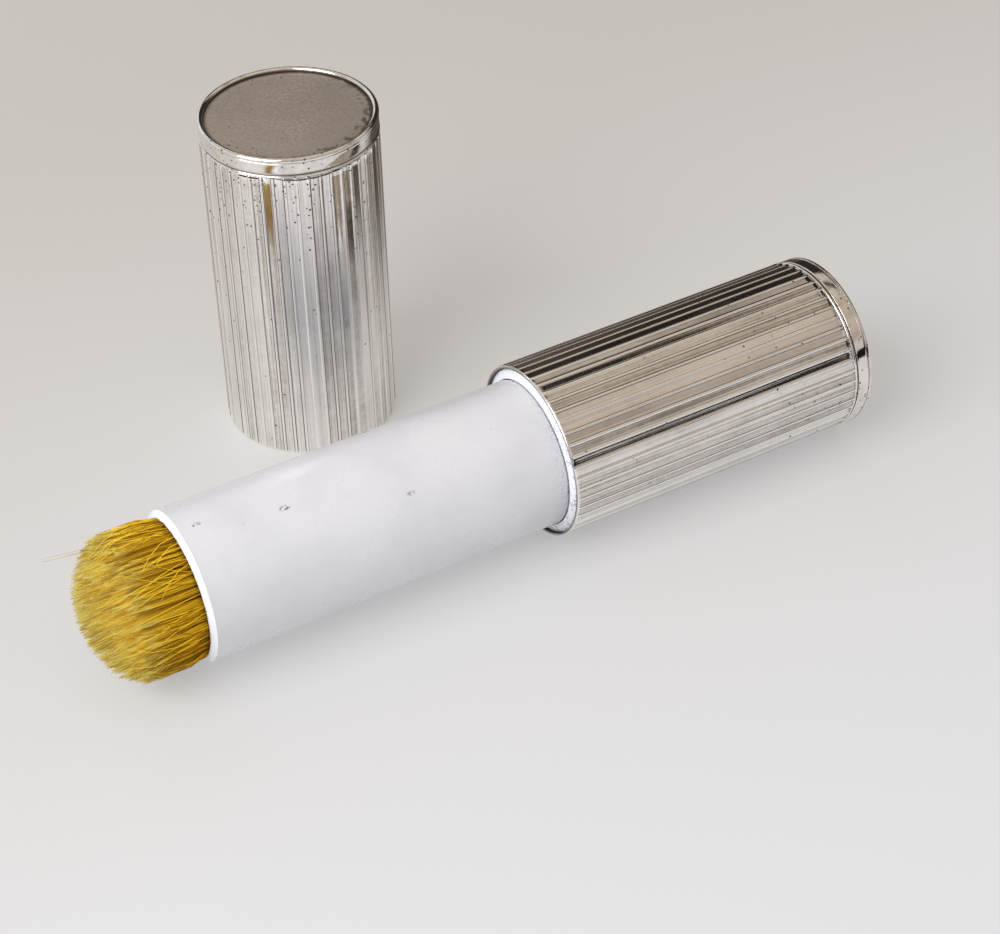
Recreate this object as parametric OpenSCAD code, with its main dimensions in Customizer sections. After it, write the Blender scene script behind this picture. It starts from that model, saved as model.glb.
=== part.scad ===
// Lipstick-style case for a propelling make-up brush: fluted base with a twist-up
// mechanism, white brush tube, and a separate fluted cap standing beside it.
// Units are millimetres. The base lies along X with the brush pointing to -X,
// the cap stands on its open rim, and the floor is z = 0.

/* [Case] */
// Outer diameter over the ribs
case_d = 25; // [24.6:0.1:32]
// Length of the base, closed end to mouth
base_len = 49; // [49:1:64]
// Length of the cap, open rim to closed end
cap_len = 50; // [44:1:64]
// Wall of the silver shells, bore to land
shell_wall = 0.30; // [0.25:0.05:0.6]
// Height of the plain band at each closed end
band_h = 3.0; // [2.5:0.1:5]
// Wall of the rolled rim around each end disc
rim_wall = 0.85; // [0.7:0.05:1.4]
// Depth of the end disc below the rim
disc_recess = 0.5; // [0.3:0.1:1]
// Thickness of the end discs
disc_t = 0.8; // [0.5:0.1:1.5]
// Step from the rim and bead down to the face of the band
band_step = 0.06; // [0.04:0.02:0.14]
// Width of the groove between band and bead
groove_w = 0.22; // [0.1:0.02:0.4]
// Depth of that groove
groove_deep = 0.14; // [0.06:0.02:0.2]
// Radius of the bead where the band meets the flutes
bead_r = 0.2; // [0.14:0.02:0.3]
// Flat ground on the rolled rim so that the case can stand
foot_flat = 0.03; // [0.01:0.01:0.05]

/* [Flutes] */
// Number of ribs around the case
rib_count = 48; // [24:2:60]
// Width of one rib
rib_w = 0.42; // [0.3:0.02:0.6]
// Height of a rib above the land
rib_h = 0.22; // [0.12:0.02:0.3]

/* [Brush tube] */
// Outer diameter of the white brush tube
tube_d = 21; // [18:0.1:22]
// Wall of the brush tube
tube_wall = 0.95; // [0.8:0.05:1.4]
// Length of tube outside the base when propelled, up to the bevel
tube_out = 52.4; // [44:0.1:64]
// Gap between the collar and the full-diameter stretch of tube
spigot_gap = 0.1; // [0.05:0.05:0.5]
// How much slimmer in radius the tube is below that stretch
foot_ease = 0.2; // [0.18:0.01:0.25]
// Height of the bevelled lip
lip_h = 0.7; // [0.6:0.1:2]
// Radial width of the lip, bevel and end face together
lip_w = 1; // [0.8:0.05:1.4]
// Width of the flat end face inside the bevel
lip_face = 0.15; // [0.05:0.05:0.3]
// Height of the lip's side below the bevel
lip_side = 0.12; // [0.06:0.02:0.3]
// Length of the lip ring's spigot in the tube
lip_seat_h = 2.5; // [1.5:0.5:4]
// Wall of that spigot
lip_seat_wall = 0.5; // [0.4:0.05:0.7]

/* [Brush] */
// Length of bristle outside the lip
bristle_out = 13.9; // [11:0.1:18]
// How much smaller in radius the bristle head is than the tube
head_ease = 0.4; // [0.4:0.05:1]
// Gap between the bristles and the lip they come out of
brush_gap = 0.05; // [0.03:0.01:0.1]
// Height of the rounded top of the bristle head
dome_h = 7.0; // [5:0.5:9]
// Length of the ferrule
ferrule_len = 16; // [12:1:18]
// Distance from the lip down to the ferrule's mouth
ferrule_drop = 8; // [6:0.5:10]
// Wall of the ferrule
ferrule_wall = 0.4; // [0.3:0.05:0.8]
// Glue film between ferrule and tube
glue_film = 0.08; // [0.04:0.02:0.12]
// Depth of the glue that holds the bristles
glue_h = 5.5; // [3:0.5:8]

/* [Mechanism] */
// Travel of the brush tube from propelled to drawn in
travel = 36; // [28:1:36]
// Travel for one full turn of the base
pitch = 24; // [20:1:30]
// Diameter of the two lug pins
lug_d = 2.0; // [1.6:0.1:2.4]
// Wall of the spiral sleeve
spiral_wall = 0.33; // [0.25:0.01:0.5]
// Length of tube below the lug pins
lug_foot = 3.0; // [2.4:0.1:4]
// Solid length of spiral sleeve beyond each end of a slot
slot_web = 1.2; // [0.8:0.1:1.3]
// Height of the ring that keeps the guide in the spiral sleeve
snap_h = 0.9; // [0.6:0.1:1]
// Depth of that ring's groove in the guide
snap_deep = 0.2; // [0.1:0.05:0.25]
// Section radius of the drag ring
drag_r = 0.18; // [0.14:0.01:0.2]
// Height of the lifting cup in the tube
carrier_h = 7.5; // [5:0.5:10]
// Height of the lifting cup above the tube's foot
carrier_set = 0.5; // [0.2:0.1:1]
// Wall of the lifting cup
carrier_wall = 1.8; // [1.2:0.1:2.5]
// Floor of the lifting cup
carrier_floor = 1.2; // [0.8:0.1:1.4]
// How far the lug pins reach past the cup's wall
pin_reach = 0.4; // [0.2:0.1:1]
// Radius of the post between lifting cup and ferrule
post_r = 5; // [4:0.5:7]
// Wall of that post
post_wall = 1.2; // [0.8:0.1:2]
// Thickness of its two flanges
flange_t = 1.2; // [0.8:0.1:2]
// Thickness of the base weight
weight_t = 1.5; // [1:0.1:1.9]
// Thickness of the mechanism floor
floor_t = 0.8; // [0.6:0.1:1]

/* [Collar] */
// Depth of the collar's edge below the mouth
collar_recess = 0.5; // [0.3:0.1:0.7]
// Rise of the collar's inner edge above the mouth
collar_rise = 0.2; // [0:0.1:0.4]
// Height of the collar's side
collar_h = 1.5; // [1.2:0.1:1.7]
// Thickness of collar above the guide sleeve's end
collar_lid = 0.5; // [0.3:0.1:0.7]
// Width of the flat on the collar's inner edge
collar_face = 0.15; // [0.05:0.05:0.3]

/* [Cap lining] */
// Wall of the plastic liner
liner_wall = 0.7; // [0.5:0.05:0.9]
// Depth of the liner inside the open rim
liner_z = 1.0; // [0.6:0.1:2]
// Height of the friction ring
grip_h = 3.0; // [2:0.5:5]
// Radial gap between friction ring and tube
grip_gap = 0.05; // [0.02:0.01:0.1]

/* [Fits] */
// Gap between pieces that are pressed or glued together
seat_gap = 0.02; // [0.01:0.01:0.04]
// Radial gap between pieces that turn or slide on each other
run_gap = 0.06; // [0.04:0.01:0.08]
// Gap around the lug pins in their slots
lug_gap = 0.15; // [0.1:0.05:0.25]
// Axial gap between turning pieces
end_gap = 0.1; // [0.06:0.02:0.16]

/* [Layout] */
// Distance between the base's axis and the cap's axis
cap_dy = 41; // [34:1:60]
// How far the cap's axis stands ahead of the base's mouth
cap_dx = 13.5; // [0:0.5:40]

/* [Hidden] */
$fn = 96;
eps = 0.01;

// Radii, from the outside in
case_r = case_d / 2;
land_r = case_r - rib_h;
bore_r = land_r - shell_wall;
seated_r = bore_r - seat_gap;
spiral_bore_r = seated_r - spiral_wall;
guide_r = spiral_bore_r - run_gap;
collar_r = bore_r - run_gap;
tube_r = tube_d / 2;
guide_bore_r = tube_r + run_gap + seat_gap;
tube_bore_r = tube_r - tube_wall;
inner_r = tube_bore_r - seat_gap;
lip_bore_r = tube_r - lip_w;
lip_seat_r = lip_bore_r + lip_seat_wall;
lug_r = lug_d / 2;
lug_tip_r = bore_r - run_gap - seat_gap;
ferrule_r = inner_r - glue_film;
knot_r = ferrule_r - ferrule_wall - seat_gap;
head_r = tube_r - head_ease;

// Heights in the base's own frame, closed end at 0. The mechanism hangs from the mouth.
collar_edge = base_len - collar_recess;
collar_top = base_len + collar_rise;
collar_z = collar_edge - collar_h;
guide_top = collar_edge - collar_lid;
drag_z = collar_z - seat_gap - drag_r;
spiral_top = drag_z - drag_r - end_gap / 2;
slot_end = lug_r + 2 * lug_gap;
lug_high = spiral_top - slot_web - slot_end;
lug_low = lug_high - travel;
spiral_z = lug_low - slot_end - slot_web;
snap_z = spiral_z - 2 * end_gap - snap_h;
guide_z = snap_z - end_gap;
floor_z = min(guide_z, lug_low - lug_foot) - 2 * end_gap - floor_t;
disc_z = disc_recess;
weight_z = disc_z + disc_t + seat_gap;
tube_z = lug_high - lug_foot;
spigot_z = collar_top + spigot_gap;
tube_top = base_len + tube_out;
lip_top = tube_top + lip_h;
tip_z = lip_top + bristle_out;
carrier_z = tube_z + carrier_set;
ferrule_top = lip_top - ferrule_drop;
ferrule_z = ferrule_top - ferrule_len;

// Where the two loose pieces stand
total_len = tip_z;
far_x = total_len / 2;
mouth_x = far_x - base_len;
base_y = -cap_dy / 2;
cap_x = mouth_x - cap_dx;
cap_y = cap_dy / 2;
liner_top = cap_len - disc_recess - disc_t - seat_gap;

// Stands a base piece in its place: closed end at far_x, brush towards -X
module lie_down() {
    translate([far_x, base_y, case_r]) rotate([0, -90, 0]) children();
}

// Stands a cap piece in its place, open rim down
module stand_up() {
    translate([cap_x, cap_y, 0]) children();
}

// A ring between two heights
module ring(r_out, r_in, z0, z1) {
    translate([0, 0, z0]) difference() {
        cylinder(r = r_out, h = z1 - z0);
        translate([0, 0, -eps]) cylinder(r = r_in, h = z1 - z0 + 2 * eps);
    }
}

// Section of a fluted shell: a round land with half-round ribs standing on it
module fluted_section() {
    difference() {
        union() {
            circle(r = land_r);
            for (i = [0 : rib_count - 1])
                rotate(i * 360 / rib_count)
                    translate([case_r - rib_w / 2, 0]) circle(r = rib_w / 2, $fn = 24);
        }
        circle(r = bore_r);
    }
}

// A fluted tube of the given length
module fluted_tube(len) {
    linear_extrude(height = len) fluted_section();
}

// Plain band with its rolled rim, groove and bead, closed end at z = 0
module band_ring() {
    roll_r = rim_wall / 2;
    roll_z = roll_r - foot_flat;
    face_r = case_r - band_step;
    rotate_extrude() difference() {
        union() {
            translate([bore_r, roll_z]) square([face_r - bore_r, band_h - roll_z]);
            translate([case_r - rim_wall, roll_z]) square([roll_r, disc_z]);
            translate([case_r - roll_r, roll_z]) circle(r = roll_r, $fn = 48);
            translate([case_r - bead_r, band_h - bead_r]) circle(r = bead_r, $fn = 24);
        }
        translate([face_r - groove_deep, band_h - 2 * bead_r - groove_w])
            square([case_r, groove_w]);
        translate([0, disc_z]) square([bore_r, band_h]);
        translate([0, -case_r]) square(case_r);
    }
}

// Disc that closes a shell below its rim
module end_disc() {
    translate([0, 0, disc_z + seat_gap]) cylinder(r = seated_r, h = disc_t - seat_gap);
}

// One helical slot through the spiral sleeve
module spiral_slot() {
    from_z = lug_low - slot_end;
    to_z = lug_high + slot_end;
    turn = (to_z - from_z) / pitch * 360;
    slope = atan(pitch / (2 * PI * seated_r));
    half_angle = (lug_r + lug_gap) / cos(slope) / pitch * 360;
    r_in = spiral_bore_r - spiral_wall;
    r_out = (seated_r + spiral_wall) / cos(half_angle);
    corners = [[r_in, -half_angle], [r_out, -half_angle], [r_out, half_angle], [r_in, half_angle]];
    translate([0, 0, from_z])
        rotate([0, 0, (lug_high - from_z) / pitch * 360])
            linear_extrude(height = to_z - from_z, twist = turn, slices = ceil(turn / 10), $fn = 6)
                polygon([for (c = corners) c[0] * [cos(c[1]), sin(c[1])]]);
}

// Cross hole for the lug pins
module pin_hole() {
    translate([0, 0, lug_high]) rotate([0, 90, 0])
        cylinder(r = lug_r + seat_gap, h = case_d, center = true);
}

module base_shell() {
    color("silver") lie_down() translate([0, 0, band_h + seat_gap])
        fluted_tube(base_len - band_h - seat_gap);
}

module base_band() {
    color("gainsboro") lie_down() band_ring();
}

module base_end_disc() {
    color("darkgray") lie_down() end_disc();
}

module base_weight() {
    color("dimgray") lie_down() translate([0, 0, weight_z])
        cylinder(r = bore_r - end_gap, h = weight_t);
}

module mechanism_floor() {
    color("white") lie_down() translate([0, 0, floor_z]) cylinder(r = seated_r, h = floor_t);
}

module spiral_sleeve() {
    color("goldenrod") lie_down() difference() {
        ring(seated_r, spiral_bore_r, spiral_z, spiral_top);
        for (a = [0, 180]) rotate([0, 0, a]) spiral_slot();
    }
}

// Inner sleeve with two straight slots, which turns with the tube
module guide_sleeve() {
    slot_w = lug_d + 2 * lug_gap;
    color("whitesmoke") lie_down() difference() {
        ring(guide_r, guide_bore_r, guide_z, guide_top);
        translate([-case_r, -slot_w / 2, lug_low - slot_end])
            cube([case_d, slot_w, travel + 2 * slot_end]);
        ring(case_r, guide_r - snap_deep, snap_z, snap_z + snap_h);
    }
}

// White bevelled collar inside the mouth
module guide_collar() {
    color("white") lie_down() rotate_extrude() polygon([
        [guide_r + seat_gap, collar_z], [collar_r, collar_z], [collar_r, collar_edge],
        [guide_bore_r + collar_face, collar_top], [guide_bore_r, collar_top],
        [guide_bore_r, guide_top + seat_gap], [guide_r + seat_gap, guide_top + seat_gap]]);
}

module guide_snap_ring() {
    color("gainsboro") lie_down() ring(bore_r - end_gap, guide_r - snap_deep + seat_gap,
        snap_z + seat_gap, snap_z + snap_h - seat_gap);
}

module drag_ring() {
    color("black") lie_down() translate([0, 0, drag_z]) rotate_extrude()
        translate([seated_r - drag_r, 0]) circle(r = drag_r, $fn = 24);
}

// White tube, slimmer where it never leaves the base
module brush_tube() {
    color("white") lie_down() difference() {
        union() {
            ring(tube_r - foot_ease, tube_bore_r, tube_z, spigot_z);
            ring(tube_r, tube_bore_r, spigot_z, tube_top);
        }
        translate([0, 0, tube_top - lip_seat_h - seat_gap])
            cylinder(r = lip_seat_r + seat_gap, h = lip_seat_h + lip_h);
        pin_hole();
    }
}

// Bevelled ring pressed into the end of the tube
module tube_lip() {
    color("white") lie_down() rotate_extrude() polygon([
        [lip_bore_r, tube_top - lip_seat_h], [lip_seat_r, tube_top - lip_seat_h],
        [lip_seat_r, tube_top + seat_gap], [tube_r, tube_top + seat_gap],
        [tube_r, tube_top + lip_side], [lip_bore_r + lip_face, lip_top], [lip_bore_r, lip_top]]);
}

// Lifting cup inside the foot of the tube, which holds the lug pins
module carrier() {
    color("ivory") lie_down() difference() {
        translate([0, 0, carrier_z]) cylinder(r = inner_r, h = carrier_h);
        translate([0, 0, carrier_z + carrier_floor])
            cylinder(r = inner_r - carrier_wall, h = carrier_h);
        pin_hole();
    }
}

module lug_pins() {
    pin_in = inner_r - carrier_wall - pin_reach;
    color("silver") lie_down() for (a = [0, 180]) rotate([0, 0, a])
        translate([pin_in, 0, lug_high]) rotate([0, 90, 0])
            cylinder(r = lug_r, h = lug_tip_r - pin_in, $fn = 48);
}

// Spool between the carrier and the ferrule
module brush_stem() {
    stem_z = carrier_z + carrier_h + seat_gap;
    stem_top = ferrule_z - seat_gap;
    stem_bore_r = post_r - post_wall;
    color("ivory") lie_down() rotate_extrude() polygon([
        [stem_bore_r, stem_z], [inner_r, stem_z], [inner_r, stem_z + flange_t],
        [post_r, stem_z + flange_t], [post_r, stem_top - flange_t],
        [inner_r, stem_top - flange_t], [inner_r, stem_top], [stem_bore_r, stem_top]]);
}

module ferrule() {
    color("lightgray") lie_down() difference() {
        translate([0, 0, ferrule_z]) cylinder(r = ferrule_r, h = ferrule_len);
        translate([0, 0, ferrule_z + ferrule_wall])
            cylinder(r = ferrule_r - ferrule_wall, h = ferrule_len);
    }
}

module knot_glue() {
    color("tan") lie_down() translate([0, 0, ferrule_z + ferrule_wall + seat_gap])
        cylinder(r = knot_r, h = glue_h);
}

// Bristle head: straight in the ferrule, flaring past the lip, elliptical on top
module bristles() {
    dome_steps = 14;
    foot_z = ferrule_z + ferrule_wall + glue_h + 2 * seat_gap;
    dome_z = tip_z - dome_h;
    neck_r = lip_bore_r - brush_gap;
    dome = [for (i = [0 : dome_steps - 1]) let (a = 90 * i / dome_steps)
        [head_r * cos(a), dome_z + dome_h * sin(a)]];
    color("goldenrod") lie_down() rotate_extrude() polygon(concat(
        [[0, foot_z], [knot_r, foot_z], [knot_r, ferrule_top],
         [neck_r, tube_top - lip_seat_h], [neck_r, lip_top]],
        dome, [[0, tip_z]]));
}

module cap_shell() {
    color("silver") stand_up() fluted_tube(cap_len - band_h - seat_gap);
}

module cap_band() {
    color("gainsboro") stand_up() translate([0, 0, cap_len]) mirror([0, 0, 1]) band_ring();
}

module cap_end_disc() {
    color("darkgray") stand_up() translate([0, 0, cap_len]) mirror([0, 0, 1]) end_disc();
}

// Plastic cup that lines the cap, with a pocket for the friction ring in its mouth
module cap_liner() {
    color("white") stand_up() translate([0, 0, liner_z]) difference() {
        cylinder(r = seated_r, h = liner_top - liner_z);
        translate([0, 0, -eps])
            cylinder(r = seated_r - liner_wall, h = liner_top - liner_z - liner_wall + eps);
        translate([0, 0, -eps])
            cylinder(r = seated_r - liner_wall / 2, h = grip_h + seat_gap + eps);
    }
}

// Friction ring in the liner's mouth, which grips the brush tube
module cap_grip_ring() {
    color("whitesmoke") stand_up() ring(seated_r - liner_wall / 2 - seat_gap,
        tube_r + grip_gap, liner_z, liner_z + grip_h);
}

base_shell();
base_band();
base_end_disc();
base_weight();
mechanism_floor();
spiral_sleeve();
guide_sleeve();
guide_collar();
guide_snap_ring();
drag_ring();
brush_tube();
tube_lip();
carrier();
lug_pins();
brush_stem();
ferrule();
knot_glue();
bristles();
cap_shell();
cap_band();
cap_end_disc();
cap_liner();
cap_grip_ring();
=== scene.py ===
import math
import random

import bmesh
import bpy
import numpy as np
from mathutils import Matrix, Vector, noise


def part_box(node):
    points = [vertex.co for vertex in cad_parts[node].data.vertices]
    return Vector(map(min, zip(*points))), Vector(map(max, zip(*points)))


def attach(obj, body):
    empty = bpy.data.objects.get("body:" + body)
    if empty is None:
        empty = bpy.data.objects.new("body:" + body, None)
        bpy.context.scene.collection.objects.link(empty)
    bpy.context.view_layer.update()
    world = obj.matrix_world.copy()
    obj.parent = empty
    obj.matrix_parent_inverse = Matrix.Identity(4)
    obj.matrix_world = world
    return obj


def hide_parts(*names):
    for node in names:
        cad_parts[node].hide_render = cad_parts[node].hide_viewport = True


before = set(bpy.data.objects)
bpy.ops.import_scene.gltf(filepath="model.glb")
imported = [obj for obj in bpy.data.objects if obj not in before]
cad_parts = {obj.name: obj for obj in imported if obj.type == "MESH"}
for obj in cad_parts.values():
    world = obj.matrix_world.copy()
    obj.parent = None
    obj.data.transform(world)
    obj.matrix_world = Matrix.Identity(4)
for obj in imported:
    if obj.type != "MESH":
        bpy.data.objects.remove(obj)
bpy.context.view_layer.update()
mm = 0.001
scene = bpy.context.scene
print("frame loaded:", len(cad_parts), "nodes")


# where the two loose pieces stand, read from the frame
def sizeOf(node):
    low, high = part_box(node)
    return low, high, high - low


bandLow, bandHigh, bandSize = sizeOf("base_band")
shellLow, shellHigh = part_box("base_shell")
capLow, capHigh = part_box("cap_shell")
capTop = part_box("cap_band")[1].z
caseR = bandSize.y / 2
baseAxis = Vector((0, (bandLow.y + bandHigh.y) / 2, caseR))
lying = Matrix.Rotation(-math.pi / 2, 4, "Y")
basePlace = Matrix.Translation((bandHigh.x, baseAxis.y, baseAxis.z)) @ lying
capAxis = (capLow + capHigh) / 2
capPlace = Matrix.Translation((capAxis.x, capAxis.y, 0))
capTopPlace = Matrix.Translation((capAxis.x, capAxis.y, capTop)) @ Matrix.Rotation(math.pi, 4, "X")


def heightOf(x):
    return bandHigh.x - x  # height above the closed end, along the base's axis


def addNode(tree, kind, **values):
    node = tree.nodes.new(kind)
    for name, value in values.items():
        if hasattr(node, name):
            setattr(node, name, value)
        else:
            node.inputs[name.replace("_", " ")].default_value = value
    return node


def mathNode(tree, operation, a, b=None, clamp=False):
    node = tree.nodes.new("ShaderNodeMath")
    node.operation = operation
    node.use_clamp = clamp
    for socket, value in zip(node.inputs, (a, b)):
        feed(tree, socket, value)
    return node.outputs[0]


def feed(tree, socket, value):
    if value is None:
        return
    if isinstance(value, bpy.types.NodeSocket):
        tree.links.new(value, socket)
    else:
        socket.default_value = value


def mixColor(tree, factor, a, b, blend="MIX"):
    node = tree.nodes.new("ShaderNodeMix")
    node.data_type = "RGBA"
    node.blend_type = blend
    feed(tree, node.inputs[0], factor)
    feed(tree, node.inputs[6], a)
    feed(tree, node.inputs[7], b)
    return node.outputs[2]


def rangeOf(tree, value, low, high, toLow=0.0, toHigh=1.0):
    node = tree.nodes.new("ShaderNodeMapRange")
    node.interpolation_type = "SMOOTHSTEP"
    for socket, given in zip(node.inputs, (value, low, high, toLow, toHigh)):
        feed(tree, socket, given)
    return node.outputs[0]


def rampOf(tree, value, stops):
    node = tree.nodes.new("ShaderNodeValToRGB")
    ramp = node.color_ramp
    while len(ramp.elements) > 1:
        ramp.elements.remove(ramp.elements[-1])
    ramp.elements[0].position = stops[0][0]
    ramp.elements[0].color = (*stops[0][1], 1)
    for position, color in stops[1:]:
        ramp.elements.new(position).color = (*color, 1)
    feed(tree, node.inputs[0], value)
    return node.outputs[0]


def noiseOf(tree, vector, scale, detail=3.0, roughness=0.55):
    node = tree.nodes.new("ShaderNodeTexNoise")
    feed(tree, node.inputs["Vector"], vector)
    feed(tree, node.inputs["Scale"], scale)
    node.inputs["Detail"].default_value = detail
    node.inputs["Roughness"].default_value = roughness
    return node.outputs[0]


def specksOf(tree, vector, scale, size):
    node = tree.nodes.new("ShaderNodeTexVoronoi")
    feed(tree, node.inputs["Vector"], vector)
    feed(tree, node.inputs["Scale"], scale)
    inside = rangeOf(tree, node.outputs["Distance"], size, 0.4 * size)
    return inside, node.outputs["Color"]


def stretched(tree, stretch):
    place = tree.nodes.new("ShaderNodeTexCoord")
    node = tree.nodes.new("ShaderNodeVectorMath")
    node.operation = "MULTIPLY"
    tree.links.new(place.outputs["Object"], node.inputs[0])
    feed(tree, node.inputs[1], stretch)
    return node.outputs[0]


def newGroup(name, inputs, outputs):
    tree = bpy.data.node_groups.new(name, "ShaderNodeTree")
    for label, kind, value in inputs:
        socket = tree.interface.new_socket(name=label, in_out="INPUT", socket_type="NodeSocket" + kind)
        socket.default_value = value
    for label, kind in outputs:
        tree.interface.new_socket(name=label, in_out="OUTPUT", socket_type="NodeSocket" + kind)
    return tree, tree.nodes.new("NodeGroupInput").outputs, tree.nodes.new("NodeGroupOutput").inputs


def buildAgedSilver():
    tree, given, result = newGroup("agedSilver", [
        ("Clean", "Color", (0.8, 0.78, 0.75, 1)), ("Tarnish", "Color", (0.2, 0.15, 0.1, 1)),
        ("Dull", "Color", (0.55, 0.5, 0.45, 1)), ("Dull Mask", "Float", 0.0), ("Mottle Low", "Float", 0.8),
        ("Stretch", "Vector", (1, 1, 1)), ("Tarnish Amount", "Float", 0.3),
        ("Dark Mask", "Float", 0.0), ("Speck Mask", "Float", 0.2), ("Polish", "Float", 0.08)],
        [("Color", "Color"), ("Roughness", "Float"), ("Height", "Float")])
    streaks = noiseOf(tree, stretched(tree, given["Stretch"]), 1.0, 4.0)
    cloud = noiseOf(tree, stretched(tree, (1, 1, 1)), 130.0, 3.0)
    haze = mathNode(tree, "MULTIPLY", rangeOf(tree, cloud, 0.42, 0.72), given["Tarnish Amount"])
    haze = mathNode(tree, "MULTIPLY", haze, rangeOf(tree, streaks, 0.3, 0.7), clamp=True)
    specks, cell = specksOf(tree, stretched(tree, (1, 1, 1)), 1500.0, 0.36)
    likely = mathNode(tree, "ADD", cell, mathNode(tree, "MULTIPLY", given["Speck Mask"], 0.5))
    specks = mathNode(tree, "MULTIPLY", specks, rangeOf(tree, likely, 0.86, 0.92))
    ragged = rangeOf(tree, noiseOf(tree, stretched(tree, (1, 1, 1)), 3200.0, 2.0), 0.36, 0.52)
    specks = mathNode(tree, "MULTIPLY", specks, ragged)
    # Dark Mask brings in painted shade (grooves, the rim's inner wall, the disc's edge, the rib feet) and
    # draws it in the tarnish colour, along with the real tarnish haze and specks
    dark = mathNode(tree, "MAXIMUM", mathNode(tree, "MAXIMUM", haze, specks), given["Dark Mask"])
    mottling = noiseOf(tree, stretched(tree, (1, 1, 1)), 1000.0, 3.0)
    dull = mathNode(tree, "MULTIPLY", rangeOf(tree, streaks, 0.3, 0.7, 0.35, 1.5), given["Dull Mask"])
    patchy = rangeOf(tree, mottling, 0.3, 0.7, given["Mottle Low"], 1.15)
    dull = mathNode(tree, "MULTIPLY", dull, patchy, clamp=True)
    wearAndSheen = mixColor(tree, dull, given["Clean"], given["Dull"])
    tree.links.new(mixColor(tree, dark, wearAndSheen, given["Tarnish"]), result["Color"])
    rough = mathNode(tree, "ADD", given["Polish"], mathNode(tree, "MULTIPLY", dark, 0.3))
    rough = mathNode(tree, "ADD", rough, mathNode(tree, "MULTIPLY", rangeOf(tree, cloud, 0.4, 0.8), 0.06))
    tree.links.new(rough, result["Roughness"])
    relief = mathNode(tree, "ADD", streaks, mathNode(tree, "MULTIPLY", mottling, 0.5))
    relief = mathNode(tree, "SUBTRACT", relief, specks)
    tree.links.new(relief, result["Height"])
    return tree


def buildHandledPlastic():
    tree, given, result = newGroup("handledPlastic", [
        ("Tint", "Color", (0.8, 0.8, 0.82, 1)), ("Scuff", "Color", (0.4, 0.4, 0.45, 1)),
        ("Scuff Amount", "Float", 0.5), ("Grime Mask", "Float", 0.0)],
        [("Color", "Color"), ("Roughness", "Float"), ("Height", "Float")])
    place = stretched(tree, (1, 1, 1))
    mottling = noiseOf(tree, place, 90.0, 3.0)
    marks, cell = specksOf(tree, stretched(tree, (170, 340, 340)), 1.0, 0.17)
    marks = mathNode(tree, "MULTIPLY", marks, rangeOf(tree, cell, 0.55, 0.6))
    marks = mathNode(tree, "MULTIPLY", marks, rangeOf(tree, noiseOf(tree, place, 1500.0, 2.0), 0.5, 0.58))
    marks = mathNode(tree, "MULTIPLY", marks, given["Scuff Amount"])
    dirt = rangeOf(tree, noiseOf(tree, place, 1700.0, 4.0, 0.7), 0.5, 0.62)
    dirt = mathNode(tree, "MULTIPLY", dirt, given["Grime Mask"], clamp=True)
    base = mixColor(tree, rangeOf(tree, mottling, 0.35, 0.75, 0.0, 0.12), given["Tint"], given["Scuff"])
    base = mixColor(tree, mathNode(tree, "MAXIMUM", marks, dirt), base, given["Scuff"])
    tree.links.new(base, result["Color"])
    rough = rangeOf(tree, mottling, 0.3, 0.8, 0.26, 0.36)
    tree.links.new(mathNode(tree, "ADD", rough, mathNode(tree, "MULTIPLY", marks, 0.3)), result["Roughness"])
    tree.links.new(mathNode(tree, "MULTIPLY", mottling, 0.4), result["Height"])
    return tree


def buildMachinedGrain():
    tree, given, result = newGroup("machinedGrain", [
        ("Light", "Color", (0.8, 0.8, 0.8, 1)), ("Dark", "Color", (0.5, 0.5, 0.5, 1)),
        ("Stretch", "Vector", (200, 200, 200)), ("Rough Low", "Float", 0.3), ("Rough High", "Float", 0.5)],
        [("Color", "Color"), ("Roughness", "Float"), ("Height", "Float")])
    grain = noiseOf(tree, stretched(tree, given["Stretch"]), 1.0, 4.0, 0.6)
    tone = mixColor(tree, rangeOf(tree, grain, 0.3, 0.7), given["Light"], given["Dark"])
    rough = rangeOf(tree, grain, 0.3, 0.7, given["Rough Low"], given["Rough High"])
    tree.links.new(tone, result["Color"])
    tree.links.new(rough, result["Roughness"])
    tree.links.new(grain, result["Height"])
    return tree


agedSilver = buildAgedSilver()
handledPlastic = buildHandledPlastic()
machinedGrain = buildMachinedGrain()
print("shared effects built")


def newMaterial(name, group, values, shader, bump, masks=()):
    material = bpy.data.materials.new(name)
    material.use_nodes = True
    tree = material.node_tree
    principled = tree.nodes["Principled BSDF"]
    for label, value in shader.items():
        principled.inputs[label].default_value = value
    effect = tree.nodes.new("ShaderNodeGroup")
    effect.node_tree = group
    for label, value in values.items():
        effect.inputs[label].default_value = value
    for label, attribute in masks:
        reader = addNode(tree, "ShaderNodeAttribute", attribute_name=attribute)
        tree.links.new(reader.outputs["Fac"], effect.inputs[label])
    relief = addNode(tree, "ShaderNodeBump", Strength=bump["strength"], Distance=bump["depth"])
    tree.links.new(effect.outputs["Height"], relief.inputs["Height"])
    tree.links.new(relief.outputs["Normal"], principled.inputs["Normal"])
    tree.links.new(effect.outputs["Color"], principled.inputs["Base Color"])
    tree.links.new(effect.outputs["Roughness"], principled.inputs["Roughness"])
    return material


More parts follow.
